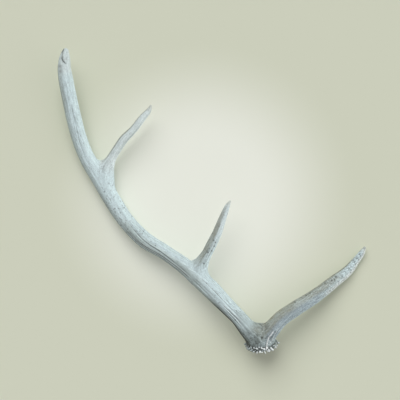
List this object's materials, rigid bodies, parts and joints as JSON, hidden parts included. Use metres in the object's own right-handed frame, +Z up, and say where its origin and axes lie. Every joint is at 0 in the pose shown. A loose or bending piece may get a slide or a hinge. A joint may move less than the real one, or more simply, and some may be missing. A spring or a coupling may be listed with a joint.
{
  "type": "deer antler",
  "caption": "Shed deer antler: a curved grooved beam with a pearled burr and a broken tip, bearing a long brow tine and shorter pointed tines.",
  "frame": {"origin": "middle of the antler's footprint, on the surface it lies on", "axes": "+Z up from the surface; seen from above, the burr is towards -Y, the brow tine points towards +X and the broken tip is towards -X and +Y"},
  "size_m": [0.526, 0.5172, 0.0574],
  "materials": {
    "bone": "matt weathered bone, bleached bluish white, greyer in its grooves and towards the burr"
  },
  "bodies": {
    "root": {"main_beam": "bone", "brow_tine": "bone", "middle_tine": "bone", "upper_tine": "bone"}
  },
  "joints": []
}
